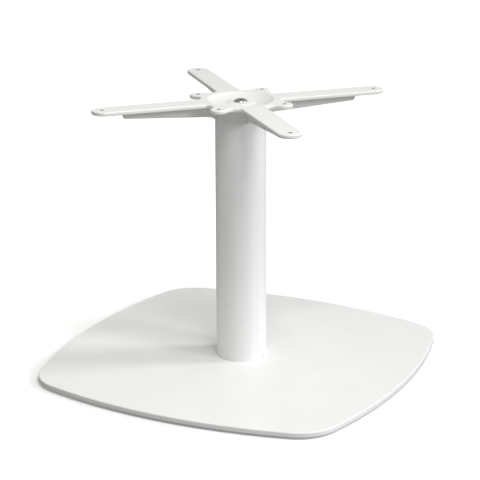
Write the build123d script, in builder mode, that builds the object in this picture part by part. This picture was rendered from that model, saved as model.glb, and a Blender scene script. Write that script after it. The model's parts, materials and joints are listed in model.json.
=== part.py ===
"""Coffee table base: a flat square plate with bowed sides, a round column and a cast top spider.

Everything is in millimetres. The origin is on the floor under the column's axis, Z points up,
and the sides of the plate run along X and Y. The four arms of the spider point at the plate's
corners, so they lie on the diagonals, and the four small ears of its hub lie on X and Y.
"""

from math import sqrt
import os

from build123d import *

os.makedirs("parts", exist_ok=True)

# Floor glides
glide_height = 3
glide_diameter = 28
glide_edge_chamfer = 1
glide_stem_diameter = 8
glide_stem_length = 5
glide_corner_inset = 45
glide_hole_spare = 0.5

# Floor plate
plate_width = 532
plate_thickness = 8
plate_side_bow_radius = 750
plate_corner_radius = 67
plate_edge_chamfer = 1

# Column tube
column_diameter = 76
column_wall = 2
column_length = 370
drain_notch_diameter = 4
drain_notch_angle = -5

# Discs welded inside the two ends of the column
disc_thickness = 12
disc_edge_gap = 0.2
foot_disc_recess = 4
head_disc_recess = 10
weld_leg = 3

# Countersunk screws that pull the column down on the plate
plate_screw_count = 4
plate_screw_circle_diameter = 44
plate_screw_diameter = 8
plate_screw_length = 20
plate_screw_head_diameter = 16
plate_screw_socket = 5
plate_screw_socket_depth = 3
plate_screw_sink = 0.3

# Spider: arms
tip_hole_circle_diameter = 420
arm_end_margin = 15
arm_tip_width = 35
arm_root_width = 38
arm_thickness = 6
arm_edge_chamfer = 1.2
arm_hole_diameter = 6.5

# Spider: ears on the hub, with their holes on the corners of a square
ear_hole_spacing = 100
ear_hole_diameter = 6.5
ear_radius = 12.5
ear_root_round = 12
arm_root_round = 4

# Spider: hub, its shallow dish and the raised boss in the middle
hub_diameter = 120
hub_height = 29
collar_diameter = 77
collar_wall = 6
collar_root_chamfer = 2.5
dish_diameter = 98
dish_depth = 6
dish_rim_round = 1.5
boss_top_diameter = 29
boss_base_diameter = 44
boss_rise = 2
boss_base_round = 4
dish_web = 6
core_diameter = 32
core_seat_gap = 0.4
spigot_depth = 5
spigot_clearance = 0.3
spigot_chamfer = 1

# Spider: rib under each arm
rib_thickness = 7
rib_end_radius = 182
rib_end_slant = 4.5
rib_end_depth = 15.3
rib_root_depth = 23.7
rib_gusset_start = 14
rib_gusset_lip = 0.6

# Button head screw that holds the spider on the column
top_screw_diameter = 10
top_screw_length = 45
top_screw_head_diameter = 20
top_screw_head_height = 3.8
top_screw_head_land = 0.8
top_screw_crown_diameter = 9
top_screw_socket = 6
top_screw_socket_depth = 2.6

# Gaps that let the screws pass or stand for their threads
screw_hole_clearance = 0.5
thread_gap = 0.05
screw_tip_chamfer = 1

# Levels
plate_bottom = glide_height
plate_top = plate_bottom + plate_thickness
column_top = plate_top + column_length
spider_top = column_top + hub_height
arm_underside = spider_top - arm_thickness
boss_top = spider_top - dish_depth + boss_rise
hollow_ceiling = spider_top - dish_depth - dish_web
foot_disc_bottom = plate_top + foot_disc_recess
head_disc_top = column_top - head_disc_recess
core_bottom = head_disc_top + core_seat_gap

# Radii and angles that follow
column_radius = column_diameter / 2
column_bore_radius = column_radius - column_wall
disc_radius = column_bore_radius - disc_edge_gap
tip_hole_radius = tip_hole_circle_diameter / 2
ear_hole_radius = ear_hole_spacing / sqrt(2)
collar_radius = collar_diameter / 2
across_flats_to_corner = 2 / sqrt(3)
first_arm_angle = 45
arm_angles = [first_arm_angle + 90 * number for number in range(4)]

# The corner arcs of the plate touch the bowed sides, which gives the place of their centres
side_arc_centre = plate_width / 2 - plate_side_bow_radius
arc_centre_distance = plate_side_bow_radius - plate_corner_radius
corner_centre = (side_arc_centre + sqrt(2 * arc_centre_distance**2 - side_arc_centre**2)) / 2
corner_reach = corner_centre * sqrt(2) + plate_corner_radius
glide_radius = corner_reach - glide_corner_inset

underside = Plane(origin=(0, 0, plate_bottom), x_dir=(1, 0, 0), z_dir=(0, 0, -1))


# Floor plate: four bowed sides cut from one square, rounded corners and softened edges
with BuildPart() as base_plate:
    with BuildSketch(Plane.XY.offset(plate_bottom)) as plate_outline:
        Rectangle(plate_width, plate_width)
        for centre in PolarLocations(abs(side_arc_centre), 4):
            with Locations(centre):
                Circle(plate_side_bow_radius, mode=Mode.INTERSECT)
        fillet(plate_outline.vertices(), plate_corner_radius)
    extrude(amount=plate_thickness)
    rim_faces = base_plate.faces().filter_by(Plane.XY)
    chamfer(rim_faces.edges(), plate_edge_chamfer)
    with Locations(underside):
        with PolarLocations(plate_screw_circle_diameter / 2, plate_screw_count):
            CounterSinkHole(
                plate_screw_diameter / 2 + screw_hole_clearance,
                plate_screw_head_diameter / 2 + plate_screw_sink,
                depth=plate_thickness,
                counter_sink_angle=90,
            )
        with PolarLocations(glide_radius, 4, start_angle=first_arm_angle):
            Hole(glide_stem_diameter / 2, depth=glide_stem_length + glide_hole_spare)

base_plate.part.label = "base_plate"
export_step(base_plate.part, "parts/base_plate.step")


# Floor glides: a low round foot with a stem pressed into a blind hole of the plate
with BuildPart() as floor_glide:
    with BuildSketch():
        Circle(glide_diameter / 2)
    extrude(amount=glide_height)
    chamfer(floor_glide.edges().group_by(Axis.Z)[0], glide_edge_chamfer)
    with BuildSketch(Plane.XY.offset(glide_height)):
        Circle(glide_stem_diameter / 2)
    extrude(amount=glide_stem_length)
    chamfer(floor_glide.edges().group_by(Axis.Z)[-1], screw_tip_chamfer)

for number, place in enumerate(PolarLocations(glide_radius, 4, start_angle=first_arm_angle), 1):
    glide = floor_glide.part.moved(place)
    glide.label = f"floor_glide_{number}"
    export_step(glide, f"parts/floor_glide_{number}.step")


# Column: a plain round tube with a small drain notch in its lower end
with BuildPart() as column_tube:
    with BuildSketch(Plane.XY.offset(plate_top)):
        Circle(column_radius)
        Circle(column_bore_radius, mode=Mode.SUBTRACT)
    extrude(amount=column_length)
    with BuildSketch(Plane.YZ.rotated((0, 0, drain_notch_angle))):
        with Locations((0, plate_top)):
            Circle(drain_notch_diameter / 2)
    extrude(amount=column_diameter, mode=Mode.SUBTRACT)

column_tube.part.label = "column_tube"
export_step(column_tube.part, "parts/column_tube.step")


def weld_section(corner_height, direction):
    """Give the section of a fillet weld that fills the corner between a disc and the tube."""
    with BuildSketch(Plane.XZ) as section:
        with BuildLine():
            Polyline(
                (column_bore_radius, corner_height),
                (column_bore_radius - weld_leg, corner_height),
                (column_bore_radius, corner_height + direction * weld_leg),
                close=True,
            )
        make_face()
    return section.sketch


# Foot disc: welded a little above the tube's end, tapped for the screws from under the plate
with BuildPart() as foot_disc:
    with BuildSketch(Plane.XY.offset(foot_disc_bottom)):
        Circle(disc_radius)
    extrude(amount=disc_thickness)
    revolve(weld_section(foot_disc_bottom, -1), axis=Axis.Z)
    with PolarLocations(plate_screw_circle_diameter / 2, plate_screw_count):
        Hole(plate_screw_diameter / 2 + thread_gap)

foot_disc.part.label = "foot_disc"
export_step(foot_disc.part, "parts/foot_disc.step")


# Head disc: the same at the top, with one tapped hole for the screw of the spider
with BuildPart() as head_disc:
    with BuildSketch(Plane.XY.offset(head_disc_top - disc_thickness)):
        Circle(disc_radius)
    extrude(amount=disc_thickness)
    revolve(weld_section(head_disc_top, 1), axis=Axis.Z)
    with Locations((0, 0, head_disc_top)):
        Hole(top_screw_diameter / 2 + thread_gap)

head_disc.part.label = "head_disc"
export_step(head_disc.part, "parts/head_disc.step")


# Countersunk screws: turned about Z with the head at the bottom, and a hexagon socket in it
with BuildPart() as plate_screw:
    head_radius = plate_screw_head_diameter / 2
    shank_radius = plate_screw_diameter / 2
    with BuildSketch(Plane.XZ):
        with BuildLine():
            Polyline(
                (0, 0),
                (head_radius, 0),
                (shank_radius, head_radius - shank_radius),
                (shank_radius, plate_screw_length - screw_tip_chamfer),
                (shank_radius - screw_tip_chamfer, plate_screw_length),
                (0, plate_screw_length),
                close=True,
            )
        make_face()
    revolve(axis=Axis.Z)
    with BuildSketch():
        RegularPolygon(plate_screw_socket / 2 * across_flats_to_corner, 6)
    extrude(amount=plate_screw_socket_depth, mode=Mode.SUBTRACT)

screw_seats = PolarLocations(plate_screw_circle_diameter / 2, plate_screw_count)
for number, place in enumerate(screw_seats, 1):
    screw = plate_screw.part.moved(Pos(0, 0, plate_bottom + plate_screw_sink) * place)
    screw.label = f"plate_screw_{number}"
    export_step(screw, f"parts/plate_screw_{number}.step")


# One arm in plan: the hull of two circles, a wide one at the hub and a smaller one at the tip
with BuildSketch() as arm_shape:
    Circle(arm_root_width / 2)
    with Locations((tip_hole_radius + arm_end_margin - arm_tip_width / 2, 0)):
        Circle(arm_tip_width / 2)
    make_hull()


def on_hub_circle(corner):
    """Say whether a corner of the outline lies on the hub's circle."""
    return abs(Vector(corner.X, corner.Y).length - hub_diameter / 2) < 0.01


def beside_ear(corner):
    """Say whether a corner lies where the straight side of an ear leaves the hub."""
    return min(abs(corner.X), abs(corner.Y)) < ear_radius + 0.01


def is_ring(edge, radius):
    """Say whether an edge is a full circle of this radius around the column's axis."""
    centre = edge.arc_center
    return abs(edge.radius - radius) < 0.01 and Vector(centre.X, centre.Y).length < 0.01


# Spider: arms, ears and hub as one flat casting, with a collar, ribs, dish and boss
with BuildPart() as spider:
    with BuildSketch(Plane.XY.offset(arm_underside)) as spider_outline:
        Circle(hub_diameter / 2)
        with PolarLocations(ear_hole_radius, 4):
            Circle(ear_radius)
        with PolarLocations(ear_hole_radius / 2, 4):
            Rectangle(ear_hole_radius, 2 * ear_radius)
        with PolarLocations(0, 4, start_angle=first_arm_angle):
            add(arm_shape.sketch)
        hub_corners = spider_outline.vertices().filter_by(on_hub_circle)
        fillet(hub_corners.filter_by(beside_ear, reverse=True), arm_root_round)
        hub_corners = spider_outline.vertices().filter_by(on_hub_circle)
        fillet(hub_corners.filter_by(beside_ear), ear_root_round)
    extrude(amount=arm_thickness)
    flat_faces = spider.faces().filter_by(Plane.XY)
    chamfer(flat_faces.edges(), arm_edge_chamfer)

    # The collar stands on the tube, and its spigot centres the spider in the tube
    with BuildSketch(Plane.XY.offset(column_top)):
        Circle(collar_radius)
    extrude(amount=hub_height - arm_thickness)
    circles = spider.edges().filter_by(GeomType.CIRCLE)
    collar_edges = circles.filter_by(lambda edge: is_ring(edge, collar_radius))
    chamfer(collar_edges.sort_by(Axis.Z)[-1], collar_root_chamfer)
    with BuildSketch(Plane.XY.offset(column_top - spigot_depth)):
        Circle(column_bore_radius - spigot_clearance)
    extrude(amount=spigot_depth)
    chamfer(spider.edges().sort_by(Axis.Z)[0], spigot_chamfer)

    # One rib under each arm, deepest at the collar, where its lower edge curves down to a gusset
    rib_slope = (rib_root_depth - rib_end_depth) / (rib_end_radius - rib_end_slant - collar_radius)
    gusset_radius = collar_radius + rib_gusset_start
    gusset_height = spider_top - rib_root_depth + rib_slope * rib_gusset_start
    rib_planes = [Plane.XZ.rotated((0, 0, angle)) for angle in arm_angles]
    with BuildSketch(*rib_planes) as ribs:
        with BuildLine():
            start = (collar_radius - collar_wall / 2, spider_top - arm_thickness / 2)
            end = (rib_end_radius, arm_underside)
            Polyline(start, (rib_end_radius, start[1]), end)
            lower_end = (rib_end_radius - rib_end_slant, spider_top - rib_end_depth)
            Polyline(end, lower_end, (gusset_radius, gusset_height))
            lip = (collar_radius, column_top + rib_gusset_lip)
            TangentArc((gusset_radius, gusset_height), lip, tangent=(-1, -rib_slope))
            Polyline(lip, (start[0], lip[1]), start)
        make_face()
    extrude(amount=rib_thickness / 2, both=True)

    # Dish: a shallow bowl around a low boss, turned out of the top
    with BuildSketch(Plane.XZ):
        with BuildLine():
            rim = (dish_diameter / 2, spider_top)
            valley = (boss_base_diameter / 2, spider_top - dish_depth)
            above = spider_top + arm_thickness
            TangentArc(valley, rim, tangent=(1, 0))
            Polyline(rim, (rim[0], above), (0, above), (0, boss_top))
            Polyline((0, boss_top), (boss_top_diameter / 2, boss_top), valley)
        make_face()
    revolve(axis=Axis.Z, mode=Mode.SUBTRACT)
    circles = spider.edges().filter_by(GeomType.CIRCLE)
    rim_edges = circles.filter_by(lambda edge: is_ring(edge, dish_diameter / 2))
    fillet(rim_edges, dish_rim_round)
    circles = spider.edges().filter_by(GeomType.CIRCLE)
    valley_edges = circles.filter_by(lambda edge: is_ring(edge, boss_base_diameter / 2))
    fillet(valley_edges, boss_base_round)

    # Hollow under the dish, between the collar's wall and the solid core of the boss
    with BuildSketch(Plane.XZ):
        with BuildLine():
            inner = core_diameter / 2
            outer = collar_radius - collar_wall
            Polyline(
                (inner, core_bottom),
                (outer, core_bottom),
                (outer, hollow_ceiling),
                (inner, hollow_ceiling),
                close=True,
            )
        make_face()
    revolve(axis=Axis.Z, mode=Mode.SUBTRACT)
    with BuildSketch(Plane.XY.offset(core_bottom)):
        Circle(core_diameter / 2)
    extrude(amount=hollow_ceiling - core_bottom)

    # Holes for the table top in the arms and ears, and the one for the screw in the boss
    with Locations((0, 0, spider_top)):
        with PolarLocations(tip_hole_radius, 4, start_angle=first_arm_angle):
            Hole(arm_hole_diameter / 2, depth=2 * arm_thickness)
        with PolarLocations(ear_hole_radius, 4):
            Hole(ear_hole_diameter / 2, depth=2 * arm_thickness)
        Hole(top_screw_diameter / 2 + screw_hole_clearance)

spider.part.label = "spider"
export_step(spider.part, "parts/spider.step")


# Button head screw: a low domed head with a hexagon socket, seated on the boss
with BuildPart() as spider_screw:
    head_radius = top_screw_head_diameter / 2
    shank_radius = top_screw_diameter / 2
    crown_radius = top_screw_crown_diameter / 2
    screw_tip = boss_top - top_screw_length
    crown_height = boss_top + top_screw_head_height
    with BuildSketch(Plane.XZ):
        with BuildLine():
            land = (head_radius, boss_top + top_screw_head_land)
            crown = (crown_radius, crown_height)
            TangentArc(crown, land, tangent=(1, 0))
            Polyline(land, (head_radius, boss_top), (shank_radius, boss_top))
            Polyline(
                (shank_radius, boss_top),
                (shank_radius, screw_tip + screw_tip_chamfer),
                (shank_radius - screw_tip_chamfer, screw_tip),
                (0, screw_tip),
                (0, crown_height),
                crown,
            )
        make_face()
    revolve(axis=Axis.Z)
    with BuildSketch(Plane.XY.offset(crown_height)):
        RegularPolygon(top_screw_socket / 2 * across_flats_to_corner, 6)
    extrude(amount=-top_screw_socket_depth, mode=Mode.SUBTRACT)

spider_screw.part.label = "spider_screw"
export_step(spider_screw.part, "parts/spider_screw.step")
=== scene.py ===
# %% [markdown]
# # A white table base, from measured parts to a studio picture
# A pedestal base for a coffee table is a heavy steel plate on the floor, a round tube, and a
# cast cross, the spider, that the wooden top is screwed to. The measured parts come ready made.
# What is left to do here is what the eye reads as real: soft edges, screw threads, coats of
# paint and the light of a studio. Everything is in metres. The origin is on the floor under the
# column, Z is up.

# %% Load the measured parts
import json
from math import asin, atan2, cos, pi, radians, sin, sqrt

import bpy
from mathutils import Matrix, Vector

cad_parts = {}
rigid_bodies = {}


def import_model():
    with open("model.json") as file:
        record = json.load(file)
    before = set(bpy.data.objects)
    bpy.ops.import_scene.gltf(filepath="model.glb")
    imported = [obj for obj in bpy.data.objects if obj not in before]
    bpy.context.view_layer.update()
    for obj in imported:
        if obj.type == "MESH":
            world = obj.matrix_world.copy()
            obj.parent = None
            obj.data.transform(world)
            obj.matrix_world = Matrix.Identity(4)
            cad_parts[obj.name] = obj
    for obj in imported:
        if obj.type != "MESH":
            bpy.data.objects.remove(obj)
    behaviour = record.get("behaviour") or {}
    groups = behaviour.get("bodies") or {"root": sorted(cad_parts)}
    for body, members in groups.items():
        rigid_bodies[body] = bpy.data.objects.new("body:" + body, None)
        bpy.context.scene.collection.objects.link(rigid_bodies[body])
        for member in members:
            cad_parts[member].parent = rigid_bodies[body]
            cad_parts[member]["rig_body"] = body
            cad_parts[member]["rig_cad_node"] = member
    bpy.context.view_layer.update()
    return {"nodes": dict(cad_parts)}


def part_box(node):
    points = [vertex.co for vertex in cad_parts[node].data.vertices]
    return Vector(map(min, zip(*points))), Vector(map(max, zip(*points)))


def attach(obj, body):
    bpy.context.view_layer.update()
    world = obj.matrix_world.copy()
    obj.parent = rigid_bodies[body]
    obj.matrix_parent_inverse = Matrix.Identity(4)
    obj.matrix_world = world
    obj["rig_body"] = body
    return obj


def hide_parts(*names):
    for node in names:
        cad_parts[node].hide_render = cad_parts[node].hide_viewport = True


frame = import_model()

MM = 0.001
nodes = frame["nodes"]
print("measured parts:", sorted(nodes))

# %% [markdown]
# ## A tidy start
# An operator in Blender acts on everything that is selected, and the parts arrive selected, so
# the first habit is to clear the selection. The second is to measure before building: the boxes
# of the parts give the heights and radii that the pieces made here need, so none of them is a
# guess.

# %% Clear the selection and measure
bpy.ops.object.select_all(action="DESELECT")
plate_low, plate_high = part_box("base_plate")
tube_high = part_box("column_tube")[1]
spider_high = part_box("spider")[1]
tube_radius = tube_high.x
print(f"plate {(plate_high.x - plate_low.x) / MM:.0f} mm, column {tube_high.z / MM:.0f} mm, "
      f"top {spider_high.z / MM:.0f} mm")

# %% [markdown]
# ## The camera
# The picture to match was taken with a long lens from the front right and a little above. A long
# lens keeps the far arm almost as large as the near one. Direction, distance and focal length
# were found by fitting the corners of the parts to that picture. The aim point is half way up
# the base, and it lies a pixel beside the middle of the picture, so the camera is moved aside by
# that much.

# %% Set up the camera
PICTURE_SIDE = 480
AIM_PIXEL = (241.09, 231.11)
SENSOR_WIDTH = 36
LENS = 135.1
AZIMUTH, ELEVATION, ROLL = radians(26.44), radians(17.84), radians(-0.18)
DISTANCE = 2.7035

aim = Vector((0, 0, (plate_low.z + spider_high.z) / 2))
bpy.ops.object.camera_add(rotation=(pi / 2 - ELEVATION, 0, AZIMUTH))
camera = bpy.context.object
camera.name = "photo_camera"
camera.rotation_euler.rotate_axis("Z", ROLL)
camera.data.sensor_width = SENSOR_WIDTH
camera.data.lens = LENS
pixel = DISTANCE * SENSOR_WIDTH / LENS / PICTURE_SIDE
aside = (PICTURE_SIDE / 2 - AIM_PIXEL[0]) * pixel
above = (AIM_PIXEL[1] - PICTURE_SIDE / 2) * pixel
camera.location = aim + camera.rotation_euler.to_matrix() @ Vector((aside, above, DISTANCE))
bpy.context.scene.camera = camera
print("camera at", [round(value, 3) for value in camera.location])

# %% [markdown]
# ## The light
# A white object on white is drawn by its shades alone. A sun lamp is a light so far away that it
# lights the whole floor alike, and its angle sets how soft the shadows are. Two suns stand low
# on the right, one beside the object and one further to the front. The column turns from light
# to grey under them, and each draws a soft wedge of shadow across the plate. A square light
# hangs high in front and brightens what faces up. Their strengths were found by rendering each
# light alone and asking which mix of those pictures comes closest to the picture to match.

# %% Place the lights
def look_back(azimuth, elevation):
    """Return the direction from the object to a light, with azimuth counted from the camera."""
    across = AZIMUTH + radians(azimuth)
    rise = radians(elevation)
    return Vector((sin(across) * cos(rise), -cos(across) * cos(rise), sin(rise)))


def add_light(name, kind, azimuth, elevation, distance, energy):
    """Add one light that shines on the middle of the object."""
    away = look_back(azimuth, elevation)
    bpy.ops.object.light_add(type=kind, location=aim + away * distance)
    light = bpy.context.object
    light.name = name
    light.rotation_euler = away.to_track_quat("Z", "Y").to_euler()
    light.data.energy = energy
    return light


side_sun = add_light("side_sun", "SUN", 95, 33, 3, 1.08)
front_sun = add_light("front_sun", "SUN", 60, 24, 3, 0.82)
for sun in (side_sun, front_sun):
    sun.data.angle = radians(14)
    sun.data.color = (0.97, 0.985, 1)
high_square = add_light("high_square", "AREA", 20, 60, 1.8, 15.5)
high_square.data.size = 0.7
print("lights:", side_sun.name, front_sun.name, high_square.name)

# %% [markdown]
# ## The floor and the air
# The floor is a wide sheet of pale paper. In the picture to match, the room beyond the object is
# dim and its light is not thrown back up, so the paper is white for the camera and grey for the
# rays that bounce: the undersides of the arms then stay dark. Away from the object the paper
# glows for the camera alone, which keeps the background even. The air is treated in the same
# way.

# %% Lay the floor
PAPER_SEEN, PAPER_BOUNCE = 0.9, 0.35
GLOW_START, GLOW_FULL, GLOW_STRENGTH = 0.12, 0.6, 0.6
AIR_STRENGTH, AIR_COLOUR = 0.41, (1, 0.985, 0.95, 1)

bpy.ops.mesh.primitive_circle_add(vertices=96, radius=40, fill_type="NGON")
floor = bpy.context.object
floor.name = "studio_floor"


def new_material(name, colour, roughness, metallic=0):
    """Return a material, its main shader and the socket that gives the place on the object."""
    material = bpy.data.materials.new(name)
    material.use_nodes = True
    shader = material.node_tree.nodes["Principled BSDF"]
    shader.inputs["Base Color"].default_value = (*colour, 1)
    shader.inputs["Roughness"].default_value = roughness
    shader.inputs["Metallic"].default_value = metallic
    place = material.node_tree.nodes.new("ShaderNodeTexCoord").outputs["Object"]
    return material, shader, place


def add_node(material, kind, values=None, **settings):
    """Add a node with its settings and the values of its sockets."""
    node = material.node_tree.nodes.new(kind)
    for name, value in settings.items():
        setattr(node, name, value)
    for name, value in (values or {}).items():
        node.inputs[name].default_value = value
    return node


paper, paper_shader, paper_place = new_material("studio_paper", (1, 1, 1), 0.9)
paper_links = paper.node_tree.links
paper_ray = add_node(paper, "ShaderNodeLightPath")
paper_white = add_node(paper, "ShaderNodeMapRange",
                       {"To Min": PAPER_BOUNCE, "To Max": PAPER_SEEN})
distance_node = add_node(paper, "ShaderNodeVectorMath", operation="LENGTH")
far_glow = add_node(paper, "ShaderNodeMapRange",
                    {"From Min": GLOW_START, "From Max": GLOW_FULL, "To Max": GLOW_STRENGTH})
seen_glow = add_node(paper, "ShaderNodeMath", operation="MULTIPLY")
paper_links.new(paper_ray.outputs["Is Camera Ray"], paper_white.inputs["Value"])
paper_links.new(paper_white.outputs["Result"], paper_shader.inputs["Base Color"])
paper_links.new(paper_place, distance_node.inputs[0])
paper_links.new(distance_node.outputs["Value"], far_glow.inputs["Value"])
paper_links.new(far_glow.outputs["Result"], seen_glow.inputs[0])
paper_links.new(paper_ray.outputs["Is Camera Ray"], seen_glow.inputs[1])
paper_links.new(seen_glow.outputs["Value"], paper_shader.inputs["Emission Strength"])
paper_shader.inputs["Emission Color"].default_value = (1, 1, 1, 1)
floor.data.materials.append(paper)

world = bpy.data.worlds.new("studio_air")
bpy.context.scene.world = world
world.use_nodes = True
background = world.node_tree.nodes["Background"]
background.inputs["Color"].default_value = AIR_COLOUR
air_ray = world.node_tree.nodes.new("ShaderNodeLightPath")
air_strength = world.node_tree.nodes.new("ShaderNodeMapRange")
air_strength.inputs["To Min"].default_value = AIR_STRENGTH
world.node_tree.links.new(air_ray.outputs["Is Camera Ray"], air_strength.inputs["Value"])
world.node_tree.links.new(air_strength.outputs["Result"], background.inputs["Strength"])
bpy.context.scene.view_settings.view_transform = "Standard"
print("floor and air are ready")

# %% [markdown]
# ## Helpers for paint
# Every finish here is a main shader with three kinds of detail: a slow change of colour, a
# change of gloss, and one or more layers of bumps. Each is a noise that is read at the place on
# the object, so it has a real size: a scale of 500 makes spots of about two millimetres. A
# bump's distance is the real height of the grain in metres, a few hundredths of a millimetre for
# paint.

# %% Helpers for paint
def noise(material, place, scale, detail=2, stretch=(1, 1, 1)):
    """Return the grey value of a noise of this scale, which may be stretched along an axis."""
    mapping = add_node(material, "ShaderNodeMapping", {"Scale": stretch})
    texture = add_node(material, "ShaderNodeTexNoise", {"Scale": scale, "Detail": detail})
    material.node_tree.links.new(place, mapping.inputs["Vector"])
    material.node_tree.links.new(mapping.outputs["Vector"], texture.inputs["Vector"])
    return texture.outputs["Fac"]


def vary(material, value, socket, low, high):
    """Let a grey value move a socket between a low and a high number."""
    spread = add_node(material, "ShaderNodeMapRange", {"From Min": 0.3, "From Max": 0.7,
                                                       "To Min": low, "To Max": high})
    material.node_tree.links.new(value, spread.inputs["Value"])
    material.node_tree.links.new(spread.outputs["Result"], socket)


def tint(material, value, shader, first, second):
    """Mix two colours by a grey value into the shader's colour."""
    ramp = add_node(material, "ShaderNodeValToRGB")
    ramp.color_ramp.elements[0].position = 0.3
    ramp.color_ramp.elements[1].position = 0.7
    ramp.color_ramp.elements[0].color = (*first, 1)
    ramp.color_ramp.elements[1].color = (*second, 1)
    material.node_tree.links.new(value, ramp.inputs["Fac"])
    material.node_tree.links.new(ramp.outputs["Color"], shader.inputs["Base Color"])


def add_bumps(material, shader, layers):
    """Stack layers of bumps, each a grey value with the real height of its grain in metres."""
    below = None
    for value, height in layers:
        bump = add_node(material, "ShaderNodeBump", {"Strength": 1, "Distance": height})
        material.node_tree.links.new(value, bump.inputs["Height"])
        if below:
            material.node_tree.links.new(below, bump.inputs["Normal"])
        below = bump.outputs["Normal"]
    material.node_tree.links.new(below, shader.inputs["Normal"])


# %% [markdown]
# ## Powder coat, three times
# The plate, the tube and the casting wear the same white powder, baked to a tough skin. Each gets
# its own white all the same: the plate's is set lighter and the casting's darker, painted light and
# painted shade for how the lamps fall on them. The powder melts into a faint orange peel, and a
# slightly greyer patch here and there shows where it lies thin. On the plate it is flat and satin.
# The tube shines more, and its drawing lines show through as faint upright streaks. The casting
# was poured in sand, so below the paint it has soft hills a few millimetres wide.

# %% Mix the three coats
GLOSS_SCALE, PEEL_SCALE, PEEL_HEIGHT = 30, 520, 0.015 * MM


def powder_coat(name, white, patches, gloss_low, gloss_high, base_layers):
    """Return a white powder coat, with slightly greyer patches, over layers of base metal.

    The patches are given by scale, stretch and shade, a layer by scale, detail, stretch and height.
    """
    material, shader, place = new_material(name, white, gloss_low)
    scale, stretch, shade = patches
    tint(material, noise(material, place, scale, 2, stretch), shader,
         [part * shade for part in white], white)
    vary(material, noise(material, place, GLOSS_SCALE, 4), shader.inputs["Roughness"],
         gloss_low, gloss_high)
    layers = [(noise(material, place, scale, detail, stretch), height)
              for scale, detail, stretch, height in base_layers]
    layers.append((noise(material, place, PEEL_SCALE), PEEL_HEIGHT))
    add_bumps(material, shader, layers)
    return material


EVEN, UPRIGHT = (1, 1, 1), (1, 1, 0.01)
# one powder in three whites: the plate's lighter white is painted light, the casting's darker white
# painted shade
plate_coat = powder_coat("plate_powder_coat", (0.89, 0.89, 0.881), (9, EVEN, 0.97), 0.38, 0.48, [])
column_coat = powder_coat("column_powder_coat", (0.86, 0.86, 0.862), (170, UPRIGHT, 0.955),
                          0.34, 0.40, [(240, 2, UPRIGHT, 0.006 * MM)])
spider_coat = powder_coat("spider_powder_coat", (0.79, 0.79, 0.77), (9, EVEN, 0.96), 0.40, 0.52,
                          [(160, 3, EVEN, 0.08 * MM)])
print("coats:", plate_coat.name, column_coat.name, spider_coat.name)

# %% [markdown]
# ## Bright zinc, bare steel and nylon
# Screws are turned and then plated with zinc: a metal with a cool tint, fine rings from the tool
# and small cloudy patches. The discs inside the tube are bare steel, faced on a lathe, so their
# rings are wider, and the heat of welding has left brown and blue bands near the rim. The glides
# are light grey nylon from a mould, which is matt and lets a little light in. The walls of the
# screw holes get a dull dark grey metal with drill rings: painted shade that darkens the holes.

# %% Mix the metals and the nylon
def rings_around(material, place, centre, scale):
    """Return the grey value of fine rings around an upright axis."""
    mapping = add_node(material, "ShaderNodeMapping", {"Location": (-centre[0], -centre[1], 0)})
    rings = add_node(material, "ShaderNodeTexWave", {"Scale": scale, "Distortion": 0.6},
                     wave_type="RINGS", rings_direction="Z")
    material.node_tree.links.new(place, mapping.inputs["Vector"])
    material.node_tree.links.new(mapping.outputs["Vector"], rings.inputs["Vector"])
    return rings.outputs["Fac"]


def bright_zinc(name, centre):
    """Return zinc plating with the turning rings of a screw that stands at this centre."""
    material, shader, place = new_material(name, (0.5, 0.51, 0.52), 0.3, metallic=1)
    tint(material, noise(material, place, 260, 4), shader, (0.42, 0.43, 0.46), (0.58, 0.58, 0.57))
    vary(material, noise(material, place, 420, 4), shader.inputs["Roughness"], 0.24, 0.38)
    add_bumps(material, shader, [(rings_around(material, place, centre, 620), 0.004 * MM),
                                 (noise(material, place, 3000), 0.003 * MM)])
    return material


def turned_steel(name):
    """Return bare turned steel with the colours of heat near the weld at its rim."""
    material, shader, place = new_material(name, (0.42, 0.41, 0.40), 0.35, metallic=1)
    flat_place = add_node(material, "ShaderNodeVectorMath", operation="MULTIPLY")
    flat_place.inputs[1].default_value = (1, 1, 0)
    radius = add_node(material, "ShaderNodeVectorMath", operation="LENGTH")
    share = add_node(material, "ShaderNodeMapRange", {"From Min": 20 * MM, "From Max": tube_radius})
    heat = add_node(material, "ShaderNodeValToRGB")
    heat.color_ramp.elements[0].color = (0.44, 0.43, 0.42, 1)
    heat.color_ramp.elements[1].color = (0.16, 0.15, 0.15, 1)
    for position, colour in ((0.35, (0.46, 0.40, 0.30)), (0.55, (0.30, 0.19, 0.15)),
                             (0.68, (0.16, 0.18, 0.27)), (0.8, (0.30, 0.30, 0.30))):
        heat.color_ramp.elements.new(position).color = (*colour, 1)
    links = material.node_tree.links
    links.new(place, flat_place.inputs[0])
    links.new(flat_place.outputs["Vector"], radius.inputs[0])
    links.new(radius.outputs["Value"], share.inputs["Value"])
    links.new(share.outputs["Result"], heat.inputs["Fac"])
    links.new(heat.outputs["Color"], shader.inputs["Base Color"])
    vary(material, noise(material, place, 300, 4), shader.inputs["Roughness"], 0.28, 0.45)
    add_bumps(material, shader, [(rings_around(material, place, (0, 0), 260), 0.008 * MM)])
    return material


def moulded_nylon(name):
    """Return light grey nylon with the fine grain of its mould."""
    material, shader, place = new_material(name, (0.66, 0.66, 0.64), 0.5)
    tint(material, noise(material, place, 60, 3), shader, (0.62, 0.62, 0.60), (0.70, 0.70, 0.68))
    vary(material, noise(material, place, 200, 3), shader.inputs["Roughness"], 0.45, 0.6)
    shader.inputs["Subsurface Weight"].default_value = 0.15
    shader.inputs["Subsurface Scale"].default_value = 2 * MM
    add_bumps(material, shader, [(noise(material, place, 1400), 0.01 * MM)])
    return material


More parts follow.
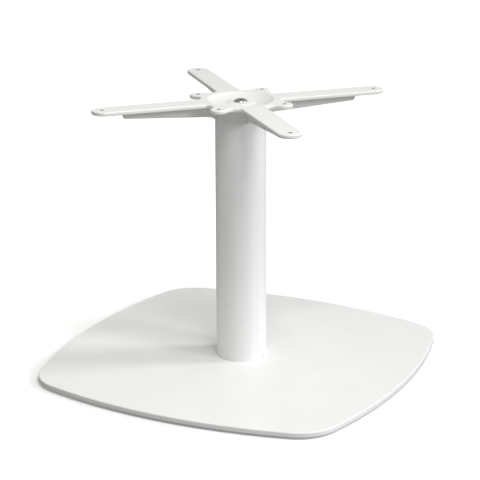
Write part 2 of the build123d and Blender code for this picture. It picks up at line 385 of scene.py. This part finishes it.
def hole_shade_metal(name):
    """Return dark grey metal with drill rings for the hole walls: painted shade inside the holes.
    """
    material, shader, place = new_material(name, (0.4, 0.39, 0.38), 0.5, metallic=1)
    tint(material, noise(material, place, 500, 3), shader, (0.34, 0.33, 0.32), (0.46, 0.45, 0.44))
    vary(material, noise(material, place, 700, 3), shader.inputs["Roughness"], 0.42, 0.6)
    add_bumps(material, shader, [(noise(material, place, 900, 2, (0.1, 0.1, 2)), 0.01 * MM)])
    return material


disc_steel = turned_steel("turned_steel")
# dark grey metal for the hole walls: painted shade inside the holes
hole_shade_material = hole_shade_metal("hole_shade_metal")
glide_nylon = moulded_nylon("moulded_nylon")
print("metals and nylon:", disc_steel.name, hole_shade_material.name, glide_nylon.name)

# %% [markdown]
# ## Soft edges for the flat and cast parts
# No real edge is perfectly sharp: the plate is ground before it is painted, and paint rounds
# every corner further. A bright line along an edge is what tells the eye that a thing is solid.
# The parts keep their measured shape, so each one is copied, its loose triangles are merged, its
# flat faces are joined to one face each, and a bevel modifier then rounds all the edges that are
# sharper than 30 degrees. The measured part stays as it was, hidden behind its copy.

# %% Round the edges
SHARP = radians(30)


def finish_piece(piece, body, material):
    """Give a piece its place in the model: material, smooth shading and body."""
    piece.data.materials.clear()
    piece.data.materials.append(material)
    bpy.ops.object.select_all(action="DESELECT")
    piece.select_set(True)
    bpy.context.view_layer.objects.active = piece
    bpy.ops.object.shade_smooth_by_angle(angle=SHARP)
    weighted = piece.modifiers.new("flat_faces_stay_flat", "WEIGHTED_NORMAL")
    weighted.keep_sharp = True
    weighted.weight = 100
    bpy.ops.object.modifier_apply(modifier=weighted.name)
    piece.select_set(False)
    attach(piece, body)


def copy_to_edit(node, name):
    """Copy a measured part, merge its triangles and join its flat faces."""
    piece = nodes[node].copy()
    piece.data = nodes[node].data.copy()
    piece.name = name
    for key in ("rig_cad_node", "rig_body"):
        del piece[key]
    piece.parent = None
    bpy.context.scene.collection.objects.link(piece)
    piece.select_set(True)
    bpy.context.view_layer.objects.active = piece
    bpy.ops.mesh.customdata_custom_splitnormals_clear()
    bpy.ops.object.mode_set(mode="EDIT")
    bpy.ops.mesh.select_all(action="SELECT")
    bpy.ops.mesh.remove_doubles(threshold=0.002 * MM)
    bpy.ops.mesh.dissolve_limited(angle_limit=radians(0.5))
    bpy.ops.object.mode_set(mode="OBJECT")
    return piece


def round_edges(piece, width, segments=2):
    """Round every sharp edge of a piece with a bevel modifier and apply it."""
    bevel = piece.modifiers.new("soft_edges", "BEVEL")
    bevel.limit_method = "ANGLE"
    bevel.angle_limit = SHARP
    bevel.width = width
    bevel.segments = segments
    bevel.use_clamp_overlap = False
    bpy.ops.object.modifier_apply(modifier=bevel.name)
    print(piece.name, "has", len(piece.data.polygons), "faces")


def soften(node, name, width, material):
    """Replace a measured part by a copy with soft edges."""
    piece = copy_to_edit(node, name)
    round_edges(piece, width)
    finish_piece(piece, "root", material)
    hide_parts(node)


soften("base_plate", "floor_plate", 0.5 * MM, plate_coat)
soften("column_tube", "column", 0.3 * MM, column_coat)
soften("foot_disc", "foot_weld_disc", 0.3 * MM, disc_steel)
soften("head_disc", "head_weld_disc", 0.3 * MM, disc_steel)

# %% [markdown]
# ## The cast spider
# The casting gets soft edges as wide as those of the thick plate, because sand cannot hold a
# sharp corner. It cannot hold a sharp inner corner either, so the long corners between the ribs
# and the arms are filled with a small hollow round: their edges are selected by place and
# beveled in edit mode. The faces inside the eight screw holes get a second material, a dull dark
# grey metal: painted shade that darkens the holes.

# %% Finish the spider
HOLE_RADIUS, ARM_HOLES, EAR_HOLES = 3.25 * MM, 210 * MM, 70.71 * MM
RIB_HALF, RIB_START, RIB_END, ARM_THICKNESS = 3.5 * MM, 40 * MM, 181.5 * MM, 6 * MM
NEAR = 0.02 * MM


def fill_rib_corners(piece, underside, size):
    """Bevel the long inner corners where the ribs meet the undersides of the arms."""
    reaches = {}
    for vertex in piece.data.vertices:
        beside, reach = sorted((abs(vertex.co.x + vertex.co.y) / sqrt(2),
                                abs(vertex.co.x - vertex.co.y) / sqrt(2)))
        if abs(vertex.co.z - underside) < NEAR and abs(beside - RIB_HALF) < NEAR:
            reaches[vertex.index] = reach
    bpy.ops.object.mode_set(mode="EDIT")
    bpy.ops.mesh.select_mode(type="EDGE")
    bpy.ops.mesh.select_all(action="DESELECT")
    bpy.ops.object.mode_set(mode="OBJECT")
    for edge in piece.data.edges:
        edge.select = RIB_START < min(reaches.get(index, 0) for index in edge.vertices) < RIB_END
    corners = sum(edge.select for edge in piece.data.edges)
    bpy.ops.object.mode_set(mode="EDIT")
    bpy.ops.mesh.bevel(offset=size, segments=4, affect="EDGES", clamp_overlap=False)
    bpy.ops.object.mode_set(mode="OBJECT")
    print("rib corners filled:", corners, "edges")


def hole_axes():
    """List where the axes of the eight screw holes stand."""
    axes = []
    for quarter in range(4):
        for reach, turn in ((ARM_HOLES, pi / 4), (EAR_HOLES, 0)):
            angle = turn + quarter * pi / 2
            axes.append(Vector((reach * cos(angle), reach * sin(angle))))
    return axes


spider_piece = copy_to_edit("spider", "cast_spider")
fill_rib_corners(spider_piece, spider_high.z - ARM_THICKNESS, 1.5 * MM)
round_edges(spider_piece, 0.5 * MM)
finish_piece(spider_piece, "root", spider_coat)
# the faces inside the holes get dark grey metal: painted shade inside the holes
spider_piece.data.materials.append(hole_shade_material)
axes, hole_shade_faces = hole_axes(), 0
for face in spider_piece.data.polygons:
    if any((face.center.xy - axis).length < HOLE_RADIUS + NEAR for axis in axes):
        face.material_index = 1
        hole_shade_faces += 1
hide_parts("spider")
print("bare faces in the holes:", hole_shade_faces)

# %% [markdown]
# ## Turned and threaded screws
# A screw starts as round bar. Its head is pressed to shape, the hexagon is punched in, and the
# thread is rolled between two dies. Here a disc is pulled from ring to ring, as a lathe would
# follow a drawing. A six-sided punch with a blunt end cuts the socket, and a bevel rounds the
# edges. The thread comes last: each point of the shank moves inwards by a tooth shape that
# climbs one pitch with every turn, so the screw never grows past its size. A modifier could wind
# a tooth as well, but it leaves open ends that are hard to join to the head.

# %% Helpers for turned pieces
def turn_on_lathe(name, centre, rings, segments):
    """Return a closed piece, pulled up from a disc through rings of a radius and a height."""
    radius, height = rings[0]
    bpy.ops.object.select_all(action="DESELECT")
    bpy.ops.mesh.primitive_circle_add(vertices=segments, radius=radius, fill_type="NGON",
                                      location=(*centre, height))
    piece = bpy.context.object
    piece.name = name
    bpy.ops.object.mode_set(mode="EDIT")
    bpy.ops.mesh.select_all(action="SELECT")
    for next_radius, next_height in rings[1:]:
        bpy.ops.mesh.extrude_region_move(
            TRANSFORM_OT_translate={"value": (0, 0, next_height - height)})
        growth = next_radius / radius
        bpy.ops.transform.resize(value=(growth, growth, 1), center_override=(*centre, next_height))
        radius, height = next_radius, next_height
    bpy.ops.mesh.select_all(action="SELECT")
    bpy.ops.mesh.normals_make_consistent(inside=False)
    bpy.ops.object.mode_set(mode="OBJECT")
    bpy.ops.object.transform_apply(location=True, rotation=True, scale=True)
    return piece


PUNCH_ABOVE, PUNCH_SHOULDER, PUNCH_POINT = 0.4, 0.8, 0.1


def punch_hexagon(piece, centre, across_flats, face, bottom):
    """Cut a hexagon socket into a piece, from the height of a face to the height of its bottom."""
    corner = across_flats / sqrt(3)
    start = face + PUNCH_ABOVE * (face - bottom)
    shoulder = face + PUNCH_SHOULDER * (bottom - face)
    punch = turn_on_lathe("punch", centre, [(corner, start), (corner, shoulder),
                                            (PUNCH_POINT * corner, bottom)], 6)
    cut = piece.modifiers.new("hexagon_socket", "BOOLEAN")
    cut.operation = "DIFFERENCE"
    cut.object = punch
    bpy.context.view_layer.objects.active = piece
    bpy.ops.object.modifier_apply(modifier=cut.name)
    bpy.data.objects.remove(punch)


STEPS_PER_TURN = 8
TOOTH_DEPTH, CREST, FLANK = 0.6, 0.15, 0.7


def shank_rings(radius, low, high, pitch):
    """List the rings of a shank between two heights, close enough to shape a thread."""
    count = round((high - low) / pitch * STEPS_PER_TURN)
    return [(radius, low + (high - low) * step / count) for step in range(count + 1)]


def roll_thread(piece, centre, radius, pitch, low, high):
    """Press a climbing tooth shape into the shank between two heights."""
    depth = TOOTH_DEPTH * pitch
    for vertex in piece.data.vertices:
        across, along, height = vertex.co.x - centre[0], vertex.co.y - centre[1], vertex.co.z
        reach = sqrt(across**2 + along**2)
        if low < height < high and reach > radius - depth:
            turn = (height / pitch - atan2(along, across) / (2 * pi)) % 1
            tooth = min(max((1 - abs(2 * turn - 1) - CREST) / FLANK, 0), 1)
            fade = min((height - low) / pitch, (high - height) / pitch, 1)
            share = min(reach, radius - depth * tooth * fade) / reach
            vertex.co.x = centre[0] + across * share
            vertex.co.y = centre[1] + along * share


def middle_and_radius(node):
    """Return the centre in plan and the radius of a round measured part."""
    low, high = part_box(node)
    return ((low.x + high.x) / 2, (low.y + high.y) / 2), (high.x - low.x) / 2


# %% [markdown]
# ## The button head screw
# One large screw in the middle pulls the spider down on the column. It is the only bare metal
# that shows from above: a low dome with a hexagon in it. The dome is an arc of a circle that
# starts flat at the crown and runs down to a narrow upright land, and its rings follow that arc.

# %% Turn the button head screw
BUTTON_LAND, CROWN_RADIUS, BUTTON_HEIGHT = 0.8 * MM, 4.5 * MM, 3.8 * MM
BUTTON_SHANK, BUTTON_PITCH, BUTTON_TIP, BUTTON_NECK = 5 * MM, 1.5 * MM, 1.1 * MM, 3 * MM
BUTTON_HEXAGON, BUTTON_SOCKET = 6 * MM, 2.6 * MM
DOME_STEPS = 8

button_low, button_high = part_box("spider_screw")
button_centre, button_radius = middle_and_radius("spider_screw")
seat = button_high.z - BUTTON_HEIGHT
dome_width, dome_drop = button_radius - CROWN_RADIUS, BUTTON_HEIGHT - BUTTON_LAND
dome_arc = (dome_width**2 + dome_drop**2) / (2 * dome_drop)
dome_angle = asin(dome_width / dome_arc)
dome_rings = [(CROWN_RADIUS + dome_arc * sin(dome_angle * step / DOME_STEPS),
               button_high.z - dome_arc * (1 - cos(dome_angle * step / DOME_STEPS)))
              for step in range(DOME_STEPS, -1, -1)]
button_rings = [(BUTTON_SHANK - BUTTON_TIP, button_low.z)]
button_rings += shank_rings(BUTTON_SHANK, button_low.z + BUTTON_TIP, seat, BUTTON_PITCH)
button_rings += [(button_radius, seat)] + dome_rings
button_screw = turn_on_lathe("button_screw", button_centre, button_rings, 64)
punch_hexagon(button_screw, button_centre, BUTTON_HEXAGON, button_high.z,
              button_high.z - BUTTON_SOCKET)
round_edges(button_screw, 0.12 * MM)
roll_thread(button_screw, button_centre, BUTTON_SHANK, BUTTON_PITCH,
            button_low.z, seat - BUTTON_NECK)
finish_piece(button_screw, "root", bright_zinc("button_zinc", button_centre))
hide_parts("spider_screw")

# %% [markdown]
# ## Four countersunk screws
# The column is held from below by four screws whose heads lie in cones under the plate. They are
# alike, so one is made and copied. Each copy gets a mesh of its own, turned about the column,
# and a zinc of its own, because the rings of the tool must run round its own axis.

# %% Turn one countersunk screw and copy it
SUNK_SHANK, SUNK_PITCH, SUNK_TIP = 4 * MM, 1.25 * MM, 0.9 * MM
SUNK_HEAD, SUNK_NECK, SUNK_LAND = 4 * MM, 5 * MM, 0.15 * MM
SUNK_HEXAGON, SUNK_SOCKET = 5 * MM, 3 * MM


def copy_turned(piece, name, quarters):
    """Copy a piece with its own mesh, turned about the column by a number of quarter turns."""
    twin = piece.copy()
    twin.data = piece.data.copy()
    twin.name = name
    twin.data.transform(Matrix.Rotation(quarters * pi / 2, 4, "Z"))
    bpy.context.scene.collection.objects.link(twin)
    return twin


sunk_low, sunk_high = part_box("plate_screw_1")
sunk_centre, sunk_radius = middle_and_radius("plate_screw_1")
sunk_rings = [(sunk_radius - SUNK_LAND, sunk_low.z), (sunk_radius, sunk_low.z + SUNK_LAND)]
sunk_rings += shank_rings(SUNK_SHANK, sunk_low.z + SUNK_HEAD, sunk_high.z - SUNK_TIP, SUNK_PITCH)
sunk_rings += [(SUNK_SHANK - SUNK_TIP, sunk_high.z)]
first_screw = turn_on_lathe("sunk_screw_1", sunk_centre, sunk_rings, 48)
punch_hexagon(first_screw, sunk_centre, SUNK_HEXAGON, sunk_low.z, sunk_low.z + SUNK_SOCKET)
round_edges(first_screw, 0.1 * MM)
roll_thread(first_screw, sunk_centre, SUNK_SHANK, SUNK_PITCH, sunk_low.z + SUNK_NECK, sunk_high.z)
sunk_screws = [first_screw]
sunk_screws += [copy_turned(first_screw, f"sunk_screw_{quarters + 1}", quarters)
                for quarters in (1, 2, 3)]
for number, screw in enumerate(sunk_screws, 1):
    screw_centre = middle_and_radius(f"plate_screw_{number}")[0]
    finish_piece(screw, "root", bright_zinc(f"sunk_zinc_{number}", screw_centre))
    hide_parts(f"plate_screw_{number}")
print("countersunk screws:", len(sunk_screws))

# %% [markdown]
# ## Four floor glides
# A glide is one small moulding: a low disc that slides on the floor, and a stem that is pressed
# into the plate. Two soft rings on the stem grip the hole. The rim is well rounded so that it
# rides over the edge of a rug, and the mould has left a shallow dimple in the middle, where the
# nylon came in.

# %% Turn one glide and copy it
glide_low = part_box("floor_glide_1")[0]
glide_centre, glide_radius = middle_and_radius("floor_glide_1")
GLIDE_STEM = 4 * MM
# each pair is a step outwards from the rim or the stem and a height, both in millimetres
glide_profile = [(-11.6, 0.3), (-11.4, 0.12), (-11, 0), (-1.5, 0), (-0.75, 0.15), (-0.2, 0.55),
                 (0, 1.1), (0, 2.5), (-0.12, 2.82), (-0.4, 3)]
stem_profile = [(-0.15, 3), (-0.15, 3.7), (0, 4), (0, 4.6), (-0.15, 4.9), (-0.15, 5.3), (0, 5.6),
                (0, 6.2), (-0.15, 6.5), (-0.25, 7.2), (-0.9, 8)]
glide_rings = [(glide_radius + out * MM, glide_low.z + up * MM) for out, up in glide_profile]
glide_rings += [(GLIDE_STEM + out * MM, glide_low.z + up * MM) for out, up in stem_profile]
first_glide = turn_on_lathe("glide_1", glide_centre, glide_rings, 64)
glides = [first_glide]
glides += [copy_turned(first_glide, f"glide_{quarters + 1}", quarters) for quarters in (1, 2, 3)]
for number, glide in enumerate(glides, 1):
    finish_piece(glide, "root", glide_nylon)
    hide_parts(f"floor_glide_{number}")
print("glides:", len(glides), "each with", len(first_glide.data.polygons), "faces")
